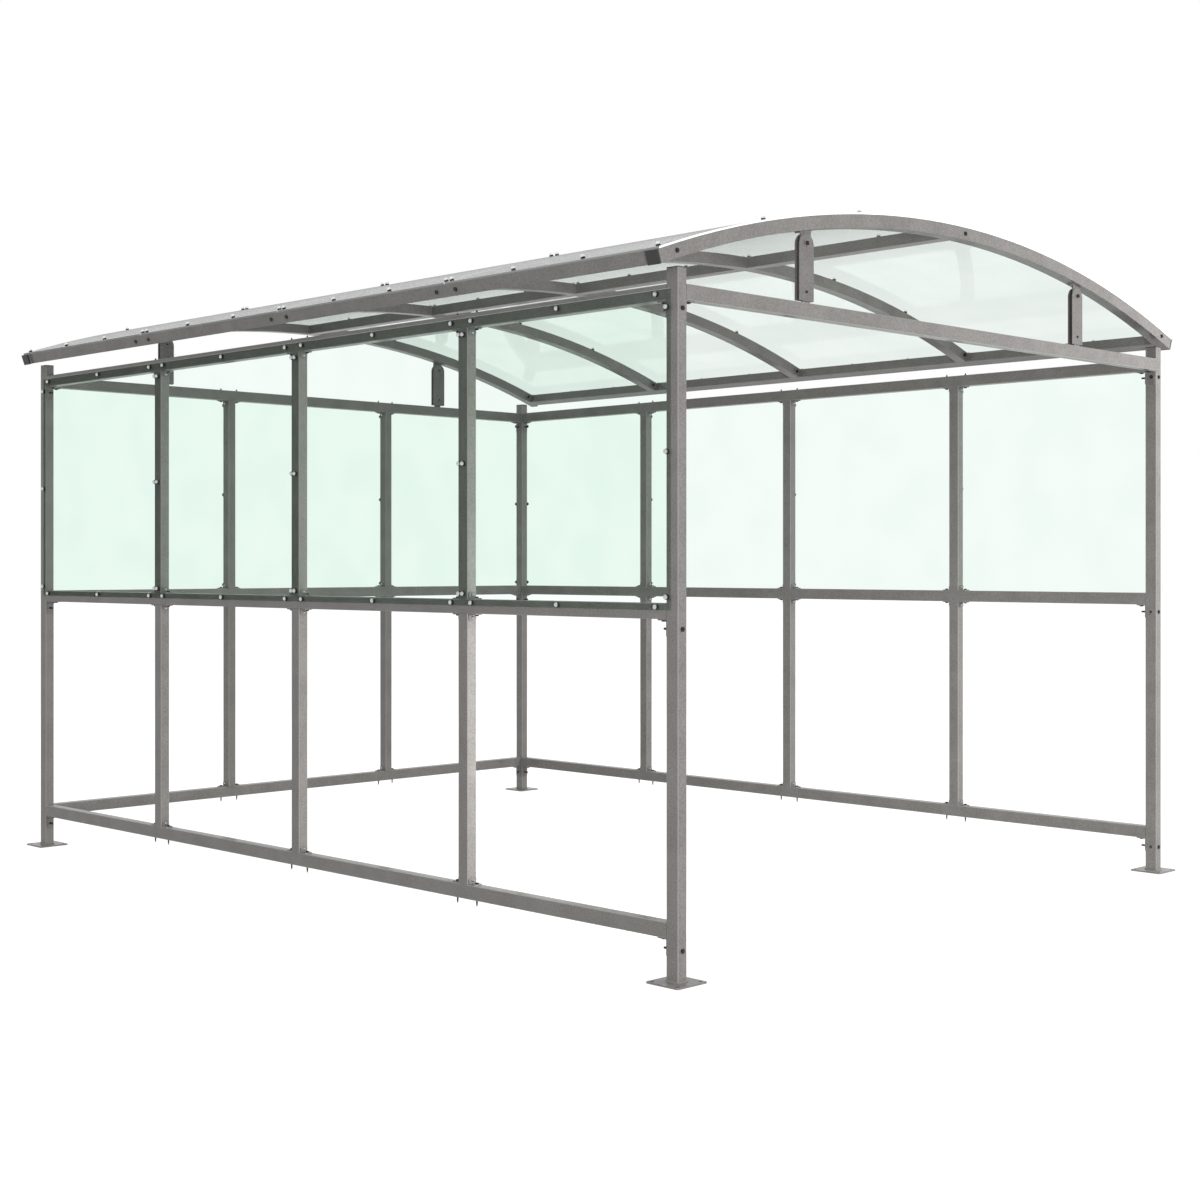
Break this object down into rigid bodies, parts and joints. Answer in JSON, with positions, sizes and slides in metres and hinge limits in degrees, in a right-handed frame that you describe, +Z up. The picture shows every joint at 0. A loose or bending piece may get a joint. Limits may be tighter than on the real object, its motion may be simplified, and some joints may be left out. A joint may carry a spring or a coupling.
{
  "type": "smoking shelter",
  "caption": "Open-fronted steel frame shelter with clear sheets on the upper walls and a shallow arched clear roof on rolled tube arches.",
  "frame": {"origin": "on the ground, in the middle of the four base plates", "axes": "+X to the right seen from the open front, +Y from the open front to the back wall, +Z up"},
  "size_m": [3.1906, 4.085, 2.5333],
  "materials": {
    "frame_steel": "grey stove-enamelled steel tube with a fine speckle",
    "bracket_steel": "grey enamelled steel plate",
    "black_caps": "matt black moulded caps",
    "roof_sheet": "clear solid polycarbonate sheet, faint green",
    "wall_sheet": "clear sheet, faint green edge tint"
  },
  "bodies": {
    "root": {"front_left_post": "frame_steel", "front_right_post": "frame_steel", "back_left_post": "frame_steel", "back_right_post": "frame_steel", "left_bottom_rail": "frame_steel", "left_middle_rail": "frame_steel", "left_top_rail": "frame_steel", "right_bottom_rail": "frame_steel", "right_middle_rail": "frame_steel", "right_top_rail": "frame_steel", "back_bottom_rail": "frame_steel", "back_middle_rail": "frame_steel", "back_top_rail": "frame_steel", "front_beam": "frame_steel", "left_studs": "frame_steel", "right_studs": "frame_steel", "back_studs": "frame_steel", "front_arch": "frame_steel", "second_arch": "frame_steel", "middle_arch": "frame_steel", "fourth_arch": "frame_steel", "back_arch": "frame_steel", "left_eave_beam": "frame_steel", "right_eave_beam": "frame_steel", "ridge_purlin": "frame_steel", "front_left_strut": "frame_steel", "front_right_strut": "frame_steel", "back_left_strut": "frame_steel", "back_right_strut": "frame_steel", "left_cleats": "bracket_steel", "right_cleats": "bracket_steel", "back_cleats": "bracket_steel", "front_cleats": "bracket_steel", "roof_cleats": "bracket_steel", "strut_lugs": "bracket_steel", "post_caps": "black_caps", "arch_caps": "black_caps", "roof_sheet_1": "roof_sheet", "roof_sheet_2": "roof_sheet", "roof_sheet_3": "roof_sheet", "roof_sheet_4": "roof_sheet", "left_sheets": "wall_sheet", "right_sheets": "wall_sheet", "back_sheets": "wall_sheet"}
  },
  "joints": []
}
